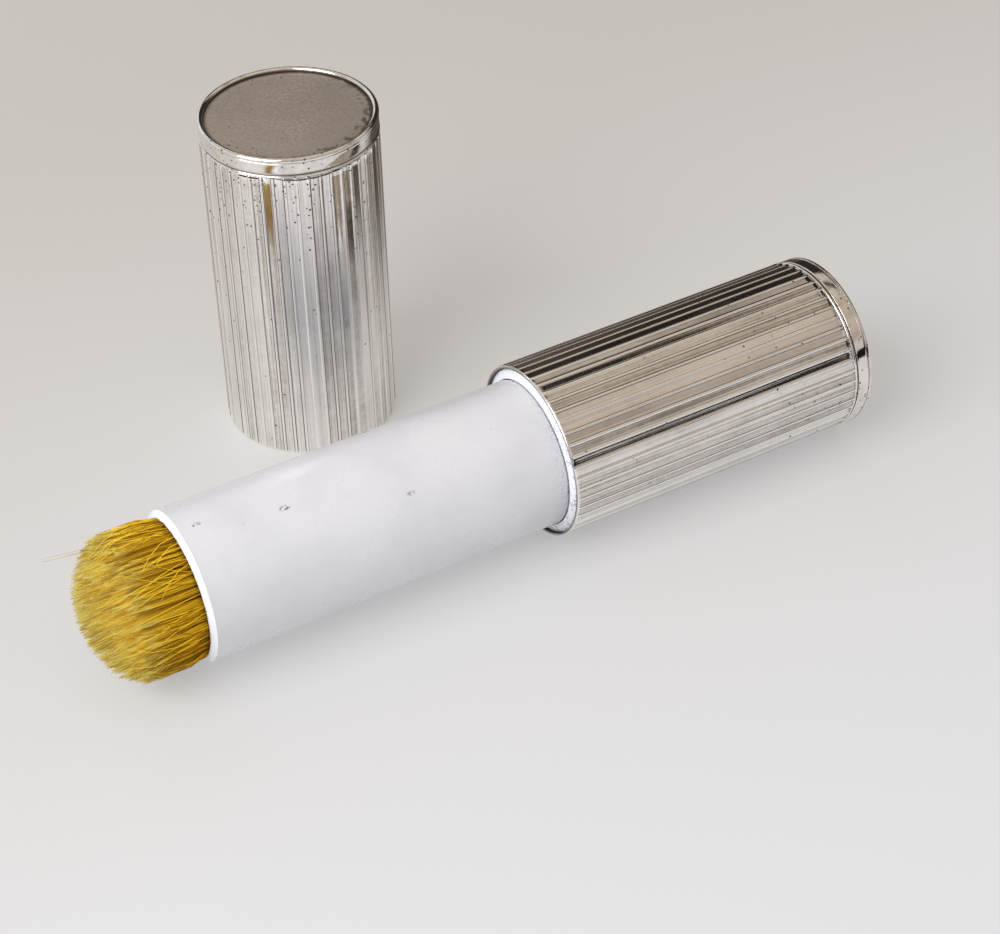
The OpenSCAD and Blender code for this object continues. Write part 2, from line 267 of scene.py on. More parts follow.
metal = {"Metallic": 1.0}
fluteFinish = {
    "Clean": (0.97, 0.955, 0.93, 1), "Dull": (0.38, 0.335, 0.295, 1), "Tarnish": (0.06, 0.045, 0.035, 1),
    "Tarnish Amount": 0.2, "Polish": 0.07}
fluteMasks = [("Dark Mask", "ribFootShadeAndTarnish"), ("Speck Mask", "nearBand"), ("Dull Mask", "landWearAndSheen")]
baseFlutes = newMaterial("flutedSilverBase", agedSilver, {
    **fluteFinish, "Stretch": (18, 4200, 4200), "Mottle Low": 0.9},
    metal, {"strength": 0.35, "depth": 0.00002}, fluteMasks)
capFlutes = newMaterial("flutedSilverCap", agedSilver, {
    **fluteFinish, "Dull": (0.56, 0.515, 0.47, 1), "Stretch": (3400, 3400, 26), "Mottle Low": 0.7},
    metal, {"strength": 0.35, "depth": 0.00002}, fluteMasks)
plainSilver = newMaterial("plainSilver", agedSilver, {
    "Clean": (0.94, 0.925, 0.90, 1), "Dull": (0.6, 0.55, 0.5, 1), "Dull Mask": 0.3,
    "Tarnish": (0.14, 0.11, 0.09, 1), "Stretch": (500, 500, 500), "Tarnish Amount": 0.24,
    "Speck Mask": 0.7, "Polish": 0.06},
    metal, {"strength": 0.3, "depth": 0.00002}, [("Dark Mask", "grooveShade")])
discSilver = newMaterial("discSilver", agedSilver, {
    "Clean": (0.93, 0.87, 0.82, 1), "Dull": (0.60, 0.545, 0.50, 1), "Dull Mask": 0.4,
    "Tarnish": (0.09, 0.065, 0.05, 1), "Stretch": (1900, 1900, 1900), "Tarnish Amount": 0.3, "Polish": 0.34},
    metal, {"strength": 0.35, "depth": 0.00002},
    [("Dark Mask", "edgeTarnishAndShadow"), ("Speck Mask", "edgeSpecks")])
whiteFinish = {"Specular IOR Level": 0.4, "Coat Weight": 0.12, "Coat Roughness": 0.25}
tubePlastic = newMaterial("scuffedWhitePlastic", handledPlastic, {
    "Tint": (0.755, 0.77, 0.82, 1), "Scuff": (0.16, 0.16, 0.22, 1), "Scuff Amount": 1.0},
    whiteFinish, {"strength": 0.06, "depth": 0.00004}, [("Grime Mask", "grime")])
trimPlastic = newMaterial("brightWhitePlastic", handledPlastic, {
    "Tint": (0.83, 0.85, 0.90, 1), "Scuff": (0.22, 0.22, 0.30, 1), "Scuff Amount": 0.4},
    whiteFinish, {"strength": 0.06, "depth": 0.00004}, [("Grime Mask", "grime")])
print("outer materials built")

innerFinishes = {
    "inner_plastic": {
        "nodes": ["mechanism_floor", "guide_sleeve", "carrier", "brush_stem", "cap_liner", "cap_grip_ring"],
        "look": {"Light": (0.80, 0.78, 0.72, 1), "Dark": (0.70, 0.67, 0.60, 1), "Stretch": (260, 260, 260),
                 "Rough Low": 0.38, "Rough High": 0.5},
        "shader": {"Specular IOR Level": 0.45}, "bump": {"strength": 0.15, "depth": 0.00005}},
    "brass": {
        "nodes": ["spiral_sleeve"],
        "look": {"Light": (0.80, 0.60, 0.28, 1), "Dark": (0.58, 0.40, 0.16, 1), "Stretch": (90, 2400, 2400),
                 "Rough Low": 0.22, "Rough High": 0.4},
        "shader": metal, "bump": {"strength": 0.3, "depth": 0.00002}},
    "steel": {
        "nodes": ["base_weight", "guide_snap_ring", "lug_pins"],
        "look": {"Light": (0.58, 0.58, 0.60, 1), "Dark": (0.38, 0.37, 0.37, 1), "Stretch": (1800, 300, 300),
                 "Rough Low": 0.28, "Rough High": 0.46},
        "shader": metal, "bump": {"strength": 0.3, "depth": 0.00002}},
    "rubber": {
        "nodes": ["drag_ring"],
        "look": {"Light": (0.035, 0.035, 0.036, 1), "Dark": (0.018, 0.018, 0.018, 1),
                 "Stretch": (900, 900, 900), "Rough Low": 0.6, "Rough High": 0.8},
        "shader": {"Specular IOR Level": 0.4}, "bump": {"strength": 0.3, "depth": 0.00003}},
    "ferrule_metal": {
        "nodes": ["ferrule"],
        "look": {"Light": (0.76, 0.76, 0.78, 1), "Dark": (0.60, 0.60, 0.61, 1), "Stretch": (120, 2200, 2200),
                 "Rough Low": 0.2, "Rough High": 0.36},
        "shader": metal, "bump": {"strength": 0.25, "depth": 0.00002}},
    "glue": {
        "nodes": ["knot_glue"],
        "look": {"Light": (0.52, 0.37, 0.16, 1), "Dark": (0.36, 0.23, 0.08, 1), "Stretch": (340, 340, 340),
                 "Rough Low": 0.2, "Rough High": 0.42},
        "shader": {"Specular IOR Level": 0.5, "Coat Weight": 0.4},
        "bump": {"strength": 0.4, "depth": 0.0001}},
}
for slotName, finish in innerFinishes.items():
    innerMaterial = newMaterial(slotName, machinedGrain, finish["look"], finish["shader"], finish["bump"])
    for nodeName in finish["nodes"]:
        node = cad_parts[nodeName]
        node.data.materials.clear()
        node.data.materials.append(innerMaterial)
print("inner materials built")


def finishPiece(name, mesh, place, material, body, replaced, sharp=40):
    mesh.transform(place)
    mesh.materials.append(material)
    mesh.shade_smooth()
    mesh.set_sharp_from_angle(angle=math.radians(sharp))
    piece = bpy.data.objects.new(name, mesh)
    scene.collection.objects.link(piece)
    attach(piece, body)
    if replaced:
        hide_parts(*replaced)


def arc(centreR, centreH, radius, start, stop, steps):
    angles = [math.radians(start + (stop - start) * i / steps) for i in range(steps + 1)]
    return [(centreR + radius * math.cos(a), centreH + radius * math.sin(a)) for a in angles]


def lathe(name, outline, closed=True, steps=240, wobble=0.0, shade=None):
    # outline holds (radius, height) points; closed joins the last to the first
    verts = []
    for i in range(steps):
        angle = 2 * math.pi * i / steps
        side = Vector((math.cos(angle), math.sin(angle), 0))
        for radius, height in outline:
            shift = wobble * noise.noise(side * 2.5 + Vector((0, 0, height / (8 * mm))))
            verts.append(side * (radius + shift) + Vector((0, 0, height)))
    count = len(outline)
    faces = []
    for i in range(steps):
        here, there = i * count, (i + 1) % steps * count
        for j in range(count if closed else count - 1):
            k = (j + 1) % count
            faces.append((here + j, there + j, there + k, here + k))
    mesh = bpy.data.meshes.new(name)
    mesh.from_pydata([tuple(v) for v in verts], [], faces)
    for label, rule in (shade or {}).items():
        layer = mesh.attributes.new(label, "FLOAT", "POINT")
        layer.data.foreach_set("value", [rule(v) for v in verts])
    tidy = bmesh.new()
    tidy.from_mesh(mesh)
    bmesh.ops.remove_doubles(tidy, verts=tidy.verts, dist=1e-7)
    bmesh.ops.dissolve_degenerate(tidy, dist=1e-8, edges=tidy.edges)
    bmesh.ops.recalc_face_normals(tidy, faces=tidy.faces)
    tidy.to_mesh(mesh)
    tidy.free()
    return mesh


def radiusOf(point):
    return math.hypot(point.x, point.y)


def smooth(value, low, high):
    t = min(max((value - low) / (high - low), 0.0), 1.0)
    return t * t * (3 - 2 * t)


flutes = {
    "count": 48, "ribWidth": 0.42 * mm, "ribHeight": 0.10 * mm, "wall": 0.42 * mm,
    "crest": 2.6,  # higher is a squarer rib
    "landBow": 0.4, "landTilt": 0.03 * mm,  # lands are a little round and lean either way
    "footWidth": 0.15 * mm, "footTone": 0.25,  # dark line (painted shade with groove tarnish) and dull tint (wear with a painted highlight) beside a rib
    "dent": 0.02 * mm, "dentLength": 14 * mm, "dentsRound": 3.1,
    "speckReach": 8 * mm,  # how far the specks spread from the band
    "ringStep": 1.0 * mm, "mouthRing": 0.5 * mm, "mouthDrop": 0.08 * mm, "seed": 7}


def fluteSection(spec, outerR):
    # one row per point round the shell: angle, radius, rib foot shade, land tone (wear with a painted
    # highlight), which land it lies on
    rng = random.Random(spec["seed"])
    landR = outerR - spec["ribHeight"]
    pitch = 2 * math.pi / spec["count"]
    halfAngle = spec["ribWidth"] / 2 / landR
    points = []
    for i in range(spec["count"]):
        centre = i * pitch + rng.uniform(-0.06, 0.06) * halfAngle
        height = spec["ribHeight"] * rng.uniform(0.9, 1.0)
        tilt = rng.uniform(-1, 1) * spec["landTilt"]
        leftFoot, rightFoot = rng.uniform(-0.4, 1.0), rng.uniform(-0.1, 1.0)
        tone = rng.uniform(0.2, 1.0)
        for step in range(13):
            x = step / 6 - 1
            rise = 1 - abs(x) ** spec["crest"]
            foot = (leftFoot if x < 0 else rightFoot) * (1 - rise) ** 2
            # wear with a painted highlight: rib tops stay clean while their flanks and the lands go dull, so
            # each rib shows as a bright line
            tint = spec["footTone"] * (1 - rise)
            points.append((centre + halfAngle * x, landR + height * rise, foot, tint, i))
        landFrom, landTo = centre + halfAngle, (i + 1) * pitch - halfAngle
        width = landTo - landFrom
        sag = landR * (1 / math.cos(width / 2) - 1) * (1 - spec["landBow"])
        for step in range(1, 8):
            t = step / 8
            chord = landR * (1 / math.cos((t - 0.5) * width) - 1) * (1 - spec["landBow"])
            foot = max(0.0, 1 - min(t, 1 - t) * width * landR / spec["footWidth"])
            points.append((landFrom + t * width, landR + chord - sag + tilt * (t - 0.5) - 0.01 * mm,
                           (rightFoot if t < 0.5 else leftFoot) * foot, tone * rng.uniform(0.75, 1.0), i))
    return points


def flutedShell(name, low, high, mouth, specks, lines, place, material, body, node):
    spec = flutes
    section = fluteSection(spec, caseR)
    boreR = caseR - spec["ribHeight"] - spec["wall"]
    ringR = caseR - spec["mouthDrop"]
    inner = min(low, high) if mouth == high else max(low, high)
    toBand = -1 if mouth == high else 1
    length = high - low
    rings = max(2, round(length / spec["ringStep"]))
    heights = [low + 0.00002 + (length - 0.00004) * k / rings for k in range(rings + 1)]
    heights += [mouth + toBand * spec["mouthRing"] * share for share in (0.1, 0.4, 0.7, 1.0)]
    heights.sort()
    verts, foot, near, tones = [], [], [], []
    for height in heights:
        plain = 1 - smooth(abs(height - mouth), 0.1 * spec["mouthRing"], spec["mouthRing"])
        edge = 0.04 * mm if abs(height - mouth) < 0.05 * mm else 0.0
        for angle, radius, dark, tone, land in section:
            across, along = spec["dentsRound"], height / spec["dentLength"] + land * 0.37
            dent = noise.noise(Vector((math.cos(angle) * across, math.sin(angle) * across, along)))
            radius = min(caseR, radius + spec["dent"] * dent) * (1 - plain) + (ringR - edge) * plain
            verts.append((radius * math.cos(angle), radius * math.sin(angle), height))
            # painted shade with groove tarnish: a dark line at the foot of each rib, made stronger by lines
            foot.append(min(1.0, max(0.0, lines * dark)) * (1 - plain))
            near.append(specks * math.exp(-abs(height - inner) / spec["speckReach"]))
            tones.append(tone * (0.9 + 0.4 * dent) * (1 - plain))
    outer = len(section)
    rings = len(heights) - 1
    for height in (high, low):  # the two end faces run from the flutes in to the bore
        for angle, radius, dark, tone, land in section:
            rim = ringR - 0.05 * mm if height == mouth else radius - 0.02 * mm
            verts.append((rim * math.cos(angle), rim * math.sin(angle), height))
        for angle, radius, dark, tone, land in section:
            verts.append((boreR * math.cos(angle), boreR * math.sin(angle), height))
        # painted shade: the inner edge of each end face, at the bore, is drawn dark
        foot += [0.0] * outer + [0.95] * outer
    near += [0.0] * 4 * outer
    tones += [0.0] * 4 * outer
    last = rings * outer
    topEdge = (rings + 1) * outer
    topBore, lowEdge, lowBore = topEdge + outer, topEdge + 2 * outer, topEdge + 3 * outer
    strips = [(k * outer, (k + 1) * outer) for k in range(rings)]
    strips += [(last, topEdge), (topEdge, topBore), (topBore, lowBore), (lowBore, lowEdge), (lowEdge, 0)]
    faces = []
    for first, second in strips:
        for i in range(outer):
            j = (i + 1) % outer
            faces.append((first + i, first + j, second + j, second + i))
    mesh = bpy.data.meshes.new(name)
    mesh.from_pydata(verts, [], faces)
    for label, values in (("ribFootShadeAndTarnish", foot), ("nearBand", near), ("landWearAndSheen", tones)):
        mesh.attributes.new(label, "FLOAT", "POINT").data.foreach_set("value", values)
    finishPiece(name, mesh, place, material, body, [node], sharp=60)


flutedShell("base_fluted_shell", heightOf(shellHigh.x), heightOf(shellLow.x), heightOf(shellLow.x),
            0.35, 1.0, basePlace, baseFlutes, "base", "base_shell")
flutedShell("cap_fluted_shell", capLow.z, capHigh.z, capLow.z,
            1.25, 1.7, capPlace, capFlutes, "cap", "cap_shell")
print("fluted shells built")


band = {
    "rimWall": 0.85 * mm, "step": 0.06 * mm, "boreR": 11.98 * mm,
    "grooveWidth": 0.22 * mm, "grooveDepth": 0.14 * mm, "beadR": 0.2 * mm,
    "lineWidth": 0.10 * mm, "lineDepth": 0.06 * mm,  # fine line under the rolled rim
    "bow": 0.012 * mm, "wobble": 0.012 * mm}  # the face is never quite flat or round
disc = {
    "recess": 0.52 * mm, "thickness": 0.78 * mm, "crown": 0.05 * mm, "wave": 0.012 * mm,
    "rings": 40, "patchScale": 1300, "patchFrom": 0.9, "edgeShadowLine": 0.965}  # tarnish patches near the rim, and a painted shadow line where the disc meets the rim wall


def bandOutline(spec, height):
    rollR = spec["rimWall"] / 2
    faceR = caseR - spec["step"]
    grooveTop = height - 2 * spec["beadR"]
    grooveLow = grooveTop - spec["grooveWidth"]
    lineLow = rollR + 0.16 * mm
    lineTop = lineLow + spec["lineWidth"]
    lineR = faceR - spec["lineDepth"]
    grooveR = faceR - spec["grooveDepth"]
    soft = 0.03 * mm
    faceFoot, faceLength = lineLow + 0.16 * mm, grooveLow - lineLow - 0.2 * mm
    bowed = [(faceR + spec["bow"] * math.sin(math.pi * k / 8), faceFoot + faceLength * k / 8)
             for k in range(1, 8)]
    return (arc(caseR - rollR, rollR, rollR, 180, 360, 20)
            + [(caseR - 0.004 * mm, lineLow - soft), (lineR, lineLow), (lineR, lineTop)]
            + [(faceR - soft / 2, lineTop + soft), (faceR, lineTop + 2 * soft)] + bowed
            + [(faceR, grooveLow - soft), (faceR - soft, grooveLow)]
            + [(grooveR, grooveLow + soft), (grooveR, grooveTop - soft)]
            + arc(caseR - spec["beadR"], height - spec["beadR"], spec["beadR"], -80, 90, 12)
            + [(spec["boreR"], height), (spec["boreR"], disc["recess"] - 0.02 * mm),
               (caseR - spec["rimWall"], disc["recess"] - 0.02 * mm)])


def grooveShade(point):
    inward = caseR - radiusOf(point)
    if point.z > disc["recess"]:
        return 0.9 * smooth(inward - band["step"], 0.02 * mm, 0.1 * mm)
    return 0.95 * smooth(point.z, 0.12 * mm, 0.3 * mm) if inward > band["rimWall"] / 2 else 0.0


def makeBand(name, place, body, node):
    height = bandSize.x
    shade = {"grooveShade": grooveShade}
    mesh = lathe(name, bandOutline(band, height), wobble=band["wobble"], shade=shade, steps=360)
    finishPiece(name, mesh, place, plainSilver, body, [node], sharp=50)


def makeDisc(name, place, body, node, darkSide):
    rimR = band["boreR"] - 0.02 * mm
    shares = [k / disc["rings"] for k in range(disc["rings"] + 1)]
    top = [(rimR * share, disc["recess"] + disc["crown"] * share ** 2) for share in shares]
    low = [(rimR, disc["recess"] + disc["thickness"]), (0, disc["recess"] + disc["thickness"])]
    seenR = caseR - band["rimWall"]

    # painted shadow: a dark ring at the disc's edge below the rim wall, and shade darkening towards the rim,
    # laid over real tarnish patches
    def tarnishAndShadow(point):
        out = radiusOf(point) / seenR
        side = 0.5 + 0.5 * math.cos(math.atan2(point.y, point.x) - darkSide)
        ragged = noise.noise(point * disc["patchScale"]) + 6 * (out - disc["patchFrom"])
        patches = smooth(ragged, 0.0, 0.35) * 0.85 * side ** 1.5
        shade = smooth(out, 0.55, 1.0) ** 2 * (0.06 + 0.3 * side ** 3)
        return min(0.95, max(shade, patches) + 0.95 * smooth(out, disc["edgeShadowLine"], disc["edgeShadowLine"] + 0.02))

    def spots(point):
        side = 0.5 + 0.5 * math.cos(math.atan2(point.y, point.x) - darkSide)
        return 1.5 * smooth(radiusOf(point), 0.72 * seenR, seenR) * (0.25 + 0.75 * side)

    shade = {"edgeTarnishAndShadow": tarnishAndShadow, "edgeSpecks": spots}
    mesh = lathe(name, top + low, closed=False, steps=280, shade=shade)
    for vert in mesh.vertices:
        if vert.co.z < disc["recess"] + 0.1 * mm and radiusOf(vert.co) < seenR:
            vert.co.z += disc["wave"] * noise.noise(vert.co * 260)
    finishPiece(name, mesh, place, discSilver, body, [node])


makeBand("base_end_band", basePlace, "base", "base_band")
makeBand("cap_end_band", capTopPlace, "cap", "cap_band")
makeDisc("base_recessed_disc", basePlace, "base", "base_end_disc", math.radians(200))
makeDisc("cap_recessed_disc", capTopPlace, "cap", "cap_end_disc", math.radians(55))
print("bands and discs built")


tube = {"wall": 0.95 * mm, "footEase": 0.2 * mm, "spigotGap": 0.3 * mm, "grimeReach": 0.9 * mm}
lip = {"height": 0.7 * mm, "width": 1.0 * mm, "face": 0.15 * mm, "side": 0.12 * mm,
       "seat": 2.5 * mm, "seatWall": 0.5 * mm}
collar = {"bevelEdge": 0.06 * mm, "gap": 0.08 * mm, "guideR": 11.59 * mm,
          "drop": 0.5 * mm, "guideDrop": 0.98 * mm}  # below the mouth

tubeLow, tubeHigh, tubeSize = sizeOf("brush_tube")
lipTop = heightOf(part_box("tube_lip")[0].x)
collarLow, collarHigh, collarSize = sizeOf("guide_collar")
tubeR = tubeSize.y / 2
mouth = heightOf(shellLow.x)
tubeTop = heightOf(tubeLow.x)
tubeFoot = heightOf(tubeHigh.x)
grimeSide = math.radians(235)  # lower front, in the base's own frame


def grimeNearMouth(point):
    near = math.exp(-max(0.0, point.z - mouth) / tube["grimeReach"])
    side = 0.5 + 0.5 * math.cos(math.atan2(point.y, point.x) - grimeSide)
    return near * (0.12 + 0.88 * side ** 2) if point.z > mouth - 1 * mm else 0.0


def makeTube():
    boreR = tubeR - tube["wall"]
    spigot = mouth + tube["spigotGap"]
    footR = tubeR - tube["footEase"]
    outline = [(boreR, tubeFoot), (footR, tubeFoot), (footR, mouth - 1 * mm), (footR, spigot - 0.05 * mm),
               (tubeR - 0.02 * mm, spigot), (tubeR, spigot + 0.03 * mm)]
    outline += [(tubeR, spigot + 0.2 * mm * k) for k in range(1, 20)]
    outline += [(tubeR, spigot + 4 * mm + (tubeTop - spigot - 4 * mm) * k / 30) for k in range(31)]
    seatR = tubeR - lip["width"] + lip["seatWall"] + 0.02 * mm
    outline += [(seatR, tubeTop), (seatR, tubeTop - lip["seat"]), (boreR, tubeTop - lip["seat"])]
    mesh = lathe("white_brush_tube", outline, steps=256, shade={"grime": grimeNearMouth})
    finishPiece("white_brush_tube", mesh, basePlace, tubePlastic, "brush", ["brush_tube"])


def makeLip():
    boreR = tubeR - lip["width"]
    seatR = boreR + lip["seatWall"]
    foot = lipTop - lip["height"]
    faceR, side = boreR + lip["face"], foot + lip["side"]
    bevel = [(tubeR + (faceR - tubeR) * k / 10, side + (lipTop - side) * k / 10) for k in range(1, 10)]
    outline = ([(boreR, foot - lip["seat"]), (seatR, foot - lip["seat"]), (seatR, foot + 0.02 * mm),
                (tubeR - 0.02 * mm, foot + 0.02 * mm), (tubeR, foot + 0.05 * mm)] + bevel
               + [(faceR + 0.02 * mm, lipTop - 0.02 * mm), (faceR, lipTop)]
               + [(boreR + 0.03 * mm, lipTop), (boreR, lipTop - 0.03 * mm)])
    mesh = lathe("bevelled_tube_lip", outline, steps=256, shade={"grime": lambda point: 0.0})
    finishPiece("bevelled_tube_lip", mesh, basePlace, trimPlastic, "brush", ["tube_lip"])


def makeCollar():
    outerR = collarSize.y / 2
    innerR = tubeR + collar["gap"]
    guideR = collar["guideR"]
    foot, top = heightOf(collarHigh.x), heightOf(collarLow.x)
    edge = mouth - collar["drop"]
    guideTop = mouth - collar["guideDrop"]
    soft = collar["bevelEdge"]
    outline = [(guideR, foot), (outerR, foot), (outerR, edge - soft), (outerR - 0.3 * soft, edge),
               (outerR - soft, edge + 0.6 * soft), (innerR + 0.2 * mm, top - 0.01 * mm),
               (innerR + 0.1 * mm, top), (innerR + 0.02 * mm, top - 0.02 * mm), (innerR, top - 0.06 * mm),
               (innerR, guideTop), (guideR, guideTop)]
    mesh = lathe("bevelled_collar", outline, steps=256, shade={"grime": grimeNearMouth})
    finishPiece("bevelled_collar", mesh, basePlace, trimPlastic, "guide", ["guide_collar"])


makeTube()
makeLip()
makeCollar()
print("tube, lip and collar built")


hair = {
    "count": 7200, "clumps": 1300, "clumping": 0.6, "seed": 21,
    "thickness": 0.1 * mm, "segments": 5, "sides": 3, "rootDepth": 1.4 * mm, "sway": 0.3 * mm,
    "domeHeight": 7.0 * mm, "flare": 3.0 * mm, "shortest": 1.2 * mm,
    "wild": 70, "crossing": 120, "strays": 3, "strayReach": 2.0 * mm,
    "shadeCoreInset": 1.1 * mm,  # how far the dark core, painted shade standing in for the inside of the hair mass, lies under the hair
    "shadeTint": (0.40, 0.25, 0.10, 1),
    "tints": [(0.0, (0.10, 0.035, 0.001)), (0.1, (0.36, 0.17, 0.005)), (0.24, (0.95, 0.60, 0.018)),
              (0.8, (0.98, 0.68, 0.035)), (0.93, (0.80, 0.62, 0.09)), (1.0, (0.62, 0.53, 0.15))]}

hairLow, hairHigh, hairSize = sizeOf("bristles")
headR = hairSize.y / 2
tip = heightOf(hairLow.x)
domeFoot = tip - hair["domeHeight"]
neckR = tubeR - lip["width"] - 0.1 * mm


def headRadius(height):
    return neckR + (headR - neckR) * smooth(height, lipTop - 0.5 * mm, lipTop + hair["flare"])


def strandMesh(name, paths, widths, tones):
    # one tapered tube of a few sides for each path
    sides = hair["sides"]
    verts, faces, along, tone = [], [], [], []
    for path, width, shade in zip(paths, widths, tones):
        start = len(verts)
        count = len(path)
        axis = (path[-1] - path[0]).normalized()
        across = axis.orthogonal().normalized()
        other = axis.cross(across)
        for k, centre in enumerate(path):
            t = k / (count - 1)
            radius = width * (1 - 0.6 * t ** 2) / 2
            for s in range(sides):
                a = 2 * math.pi * s / sides
                verts.append(centre + across * (radius * math.cos(a)) + other * (radius * math.sin(a)))
                along.append(t)
                tone.append(shade)
        for k in range(count - 1):
            for s in range(sides):
                low, high = start + k * sides, start + (k + 1) * sides
                faces.append((low + s, low + (s + 1) % sides, high + (s + 1) % sides, high + s))
        faces.append(tuple(start + s for s in reversed(range(sides))))
        faces.append(tuple(start + (count - 1) * sides + s for s in range(sides)))
    mesh = bpy.data.meshes.new(name)
    mesh.from_pydata([tuple(v) for v in verts], [], faces)
    mesh.attributes.new("alongHair", "FLOAT", "POINT").data.foreach_set("value", along)
    mesh.attributes.new("hairTone", "FLOAT", "POINT").data.foreach_set("value", tone)
    return mesh


def bristleMaterial():
    material = bpy.data.materials.new("ochreBristle")
    material.use_nodes = True
    tree = material.node_tree
    principled = tree.nodes["Principled BSDF"]
    principled.inputs["Specular IOR Level"].default_value = 0.18
    along = addNode(tree, "ShaderNodeAttribute", attribute_name="alongHair").outputs["Fac"]
    tone = addNode(tree, "ShaderNodeAttribute", attribute_name="hairTone").outputs["Fac"]
    body = rampOf(tree, along, hair["tints"])
    patches = noiseOf(tree, stretched(tree, (120, 700, 700)), 1.0, 3.0)
    patchy = mathNode(tree, "ADD", tone, mathNode(tree, "MULTIPLY", patches, 0.4))
    shade = rangeOf(tree, patchy, 0.15, 1.0)
    dark = mixColor(tree, 1.0, body, hair["shadeTint"], "MULTIPLY")
    tree.links.new(mixColor(tree, shade, dark, body), principled.inputs["Base Color"])
    tree.links.new(rangeOf(tree, patches, 0.3, 0.7, 0.4, 0.6), principled.inputs["Roughness"])
    return material


def makeBristles():
    rng = random.Random(hair["seed"])
    spots = []
    for _ in range(hair["clumps"]):
        angle, spread = rng.uniform(0, 2 * math.pi), math.sqrt(rng.uniform(0.0, 1.0))
        sway = (rng.uniform(-1, 1), rng.uniform(-1, 1))
        nature = (rng.random(), rng.random(), rng.uniform(0.93, 1.0))
        spots.append((spread * math.cos(angle), spread * math.sin(angle), *sway, *nature))
    spots = np.array(spots)
    start = lipTop - hair["rootDepth"]
    paths, widths, tones = [], [], []

    def addHair(points, width, tone):
        path = []
        for x, y, height, limit in points:
            if height < lipTop + 0.4 * mm:
                limit = neckR
            size = math.hypot(x, y)
            if size > limit:
                x, y = x * limit / size, y * limit / size
            path.append(Vector((x, y, height)))
        paths.append(path)
        widths.append(width)
        tones.append(min(1.0, max(0.0, tone)))

    def domeEnd(spread):
        return domeFoot + hair["domeHeight"] * math.sqrt(max(0.0, 1 - spread ** 2))

    steps = [k / (hair["segments"] - 1) for k in range(hair["segments"])]
    for index in range(hair["count"]):  # the body of the brush, in small clumps
        angle = rng.uniform(0, 2 * math.pi)
        spread = math.sqrt(rng.uniform(0.0, 1.0)) if index % 3 else math.sqrt(rng.uniform(0.8, 1.0))
        qx, qy = spread * math.cos(angle), spread * math.sin(angle)
        nearest = np.argmin((spots[:, 0] - qx) ** 2 + (spots[:, 1] - qy) ** 2)
        cx, cy, swayX, swayY, clumpTone, clumpShort, depth = spots[nearest]
        wild = index < hair["wild"]
        short = hair["shortest"] * (0.6 * rng.random() ** 1.5 + 0.5 * clumpShort)
        if rng.random() < 0.15 and not wild:
            short += rng.uniform(0.5, 5.0) * mm
        end = domeEnd(spread) - short + (rng.uniform(0.6, 1.4) * mm if wild else 0.0)
        bendX, bendY = rng.gauss(0, 1), rng.gauss(0, 1)
        spreadOut = 1.5 if wild else 0.3
        outward = 0.45 * mm if wild else 0.14 * mm * rng.random()
        points = []
        for t in steps:
            height = start + (end - start) * t
            pull = hair["clumping"] * t
            reach = headRadius(height) * (1 + (depth - 1) * math.sin(math.pi * t) ** 0.5)
            away = hair["sway"] * t * t
            points.append(((qx + (cx - qx) * pull) * reach + away * (0.8 * swayX + spreadOut * bendX),
                           (qy + (cy - qy) * pull) * reach + away * (0.8 * swayY + spreadOut * bendY),
                           height, headR + outward))
        width = hair["thickness"] * rng.uniform(0.8, 1.6) * (0.6 if wild else 1.0)
        addHair(points, width, 0.7 * clumpTone + 0.3 * rng.random())
    for _ in range(hair["crossing"]):  # single hairs lying across the others
        angle, turn = rng.uniform(0, 2 * math.pi), rng.gauss(0, 0.22)
        end = domeEnd(0.8) - rng.uniform(0.0, 7.0) * mm
        lift = rng.uniform(0.02, 0.12) * mm
        points = []
        for t in steps:
            height = start + (end - start) * t
            inDome = max(0.0, height - domeFoot) / hair["domeHeight"]
            reach = min(headRadius(height) + lift, headR * math.sqrt(max(0.1, 1 - inDome ** 2)))
            a = angle + turn * t * t
            points.append((reach * math.cos(a), reach * math.sin(a), height, headR + lift))
        addHair(points, hair["thickness"] * rng.uniform(1.2, 1.8), rng.choice((0.1, 1.0, 1.0)))
    for index in range(hair["strays"]):  # a few long ones past the tips
        angle = math.radians(20 + 16 * index)
        end = tip + hair["strayReach"] * (1 - 0.3 * index)
        points = []
        for t in steps:
            reach, a = (0.75 + 0.2 * t) * headR, angle + 0.1 * t
            points.append((reach * math.cos(a), reach * math.sin(a), start + (end - start) * t, headR))
        addHair(points, hair["thickness"] * 0.8, 0.3)
    mesh = strandMesh("bristle_hairs", paths, widths, tones)
    finishPiece("bristle_hairs", mesh, basePlace, ochre, "brush", [], sharp=180)


def makeBristleShadeCore():
    inset = hair["shadeCoreInset"]
    foot = heightOf(hairHigh.x)
    steps = 16
    outline = [(0, foot), (neckR - inset, foot), (neckR - inset, lipTop - 1 * mm),
               (neckR - 0.5 * inset, lipTop + 1 * mm)]
    for k in range(steps + 1):
        a = math.pi / 2 * k / steps
        rise = (hair["domeHeight"] - inset) * math.sin(a)
        outline.append(((headR - inset) * math.cos(a) if k < steps else 0, domeFoot - inset + rise))
    mesh = lathe("bristle_shade_core", outline, closed=False, steps=120)
    heights = [(vert.co.z - lipTop) / (tip - lipTop) for vert in mesh.vertices]
    along = [min(0.8, max(0, 0.8 * height)) for height in heights]
    mesh.attributes.new("alongHair", "FLOAT", "POINT").data.foreach_set("value", along)
    # painted shade: the core is tinted like hair lying in shadow
    mesh.attributes.new("hairTone", "FLOAT", "POINT").data.foreach_set("value", [0.3] * len(along))
    finishPiece("bristle_shade_core", mesh, basePlace, ochre, "brush", ["bristles"], sharp=180)


ochre = bristleMaterial()
makeBristleShadeCore()
makeBristles()
print("bristles built")


